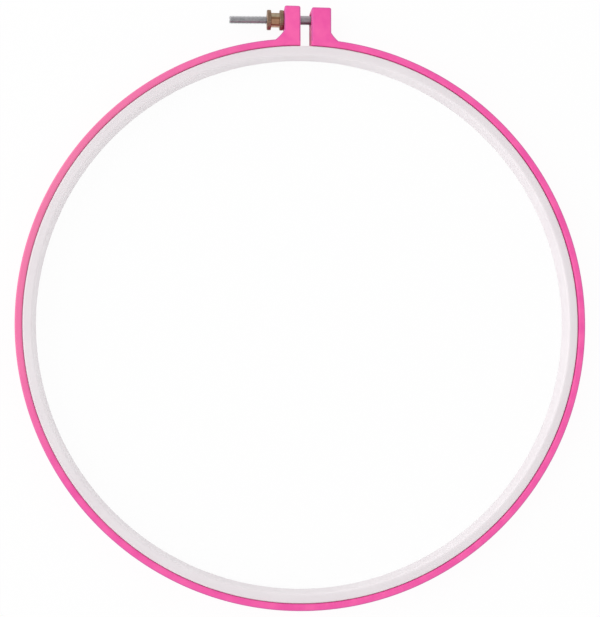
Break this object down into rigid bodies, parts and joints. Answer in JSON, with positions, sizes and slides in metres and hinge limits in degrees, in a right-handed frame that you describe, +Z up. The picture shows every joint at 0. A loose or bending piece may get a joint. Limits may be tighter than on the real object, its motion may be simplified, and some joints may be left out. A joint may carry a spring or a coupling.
{
  "type": "embroidery hoop",
  "caption": "Round screw-clamped embroidery hoop: a split outer ring with lugs closes round a plain inner ring to stretch fabric between them.",
  "frame": {"origin": "under the middle of the whole hoop's bounding box, on the surface that it lies on", "axes": "+Z up along the rings' common axis, +Y from the rings' centre to the lugs, +X towards the lug that holds the screw's head"},
  "size_m": [0.25, 0.2646, 0.01],
  "materials": {
    "pink_plastic": "satin moulded",
    "white_plastic": "satin moulded, slightly milky",
    "zinc_steel": "zinc plated, rolled thread",
    "nut_brass": "turned, slightly dulled"
  },
  "bodies": {
    "outer_left": {"outer_ring_left": "pink_plastic"},
    "outer_right": {"outer_ring_right": "pink_plastic", "clamp_screw": "zinc_steel"},
    "inner": {"inner_ring": "white_plastic"},
    "nut": {"clamp_nut": "nut_brass"}
  },
  "joints": [
    {"name": "ring_flex", "type": "hinge", "parent": "outer_left", "child": "outer_right", "pos_m": [0, -0.13078, 0.005], "axis": [0, 0, -1], "range_deg": [-0.09, 1.11]},
    {"name": "nut_spin", "type": "hinge", "parent": "outer_left", "child": "nut", "pos_m": [-0.01345, 0.12698, 0.005], "axis": [-1, 0, 0], "range_deg": [-240, 3000]},
    {"name": "inner_ring_lift", "type": "slide", "parent": "outer_left", "child": "inner", "axis": [0, 0, 1], "range_m": [0, 0.03]}
  ],
  "couplings": [
    {"joint": "nut_spin", "follows": "ring_flex", "ratio": 2699.2}
  ]
}
